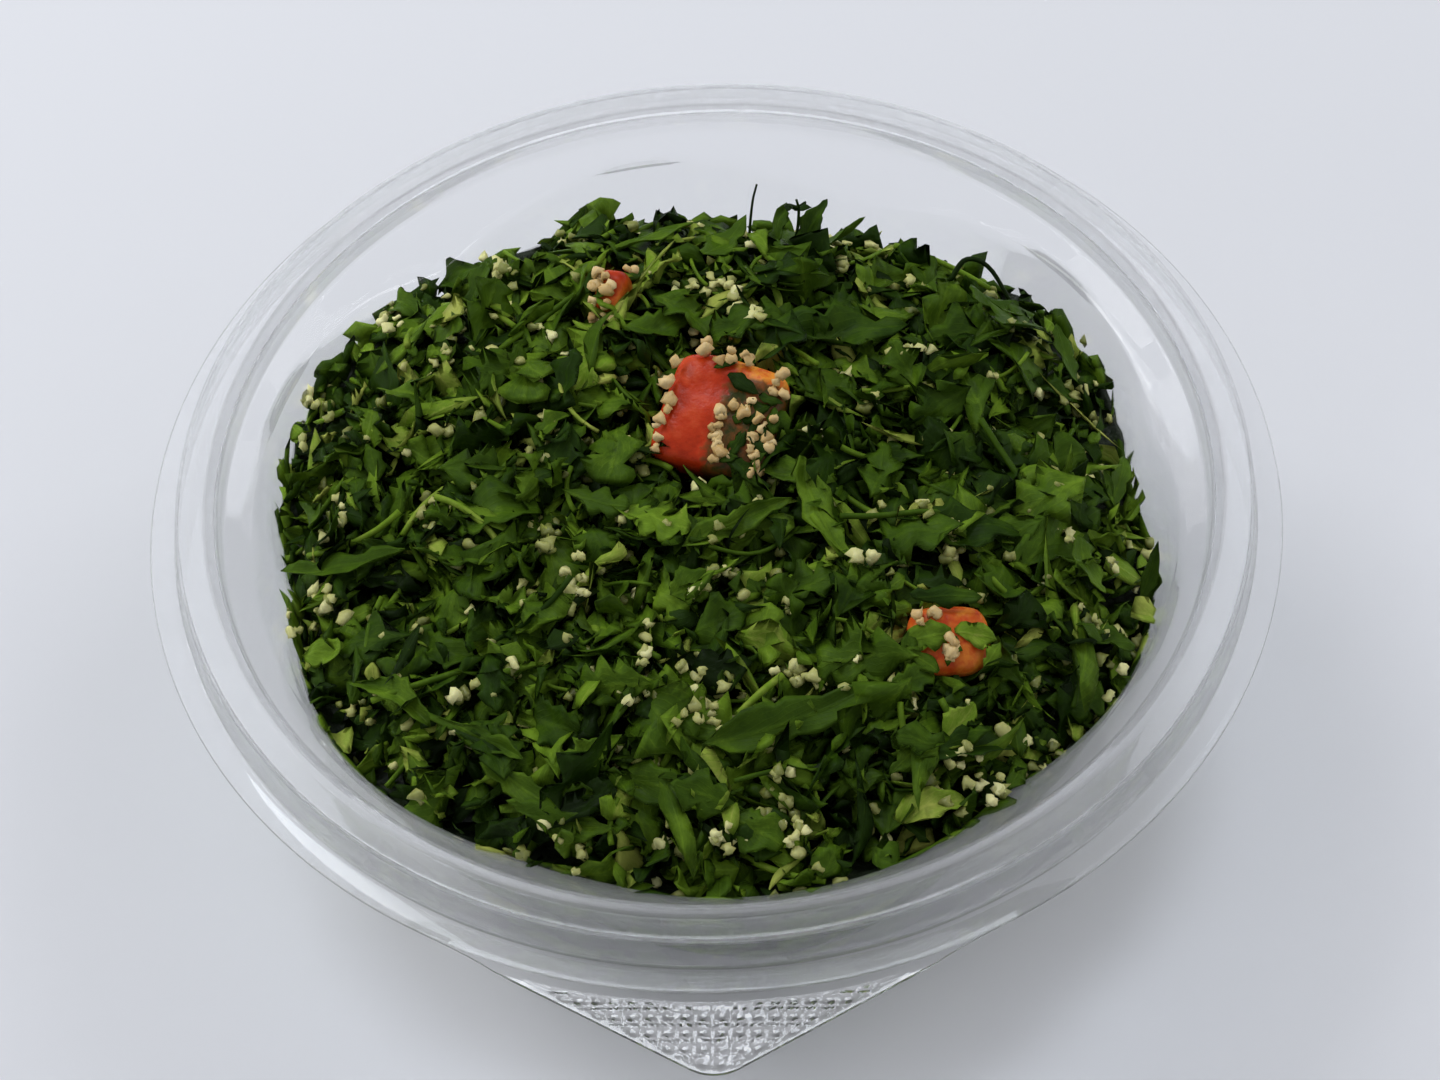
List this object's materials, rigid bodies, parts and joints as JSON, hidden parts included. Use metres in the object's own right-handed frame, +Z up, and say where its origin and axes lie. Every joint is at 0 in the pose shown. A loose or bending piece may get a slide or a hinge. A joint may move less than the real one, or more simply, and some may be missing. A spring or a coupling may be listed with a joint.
{
  "type": "tabbouleh salad in a clear bowl",
  "caption": "Heap of chopped parsley, pale grains and tomato chunks in a clear round lobed deli bowl with a flat flange and a studded peel tab.",
  "frame": {"origin": "centre of the underside of the bowl's flat base, on the bowl's axis", "axes": "+Z up, -Y towards the peel tab, +X to the right seen from the tab"},
  "size_m": [0.15, 0.1615, 0.045],
  "materials": {
    "clear_sheet": "clear glossy thermoformed plastic sheet",
    "herbs": "moist chopped green herbs, half matte",
    "grains": "moist pale cooked grains, half matte",
    "tomato": "wet cut tomato flesh and skin, glossy"
  },
  "bodies": {
    "root": {"bowl": "clear_sheet", "salad": "herbs", "tomato_large": "tomato", "tomato_medium": "tomato", "tomato_small": "tomato"}
  },
  "joints": []
}
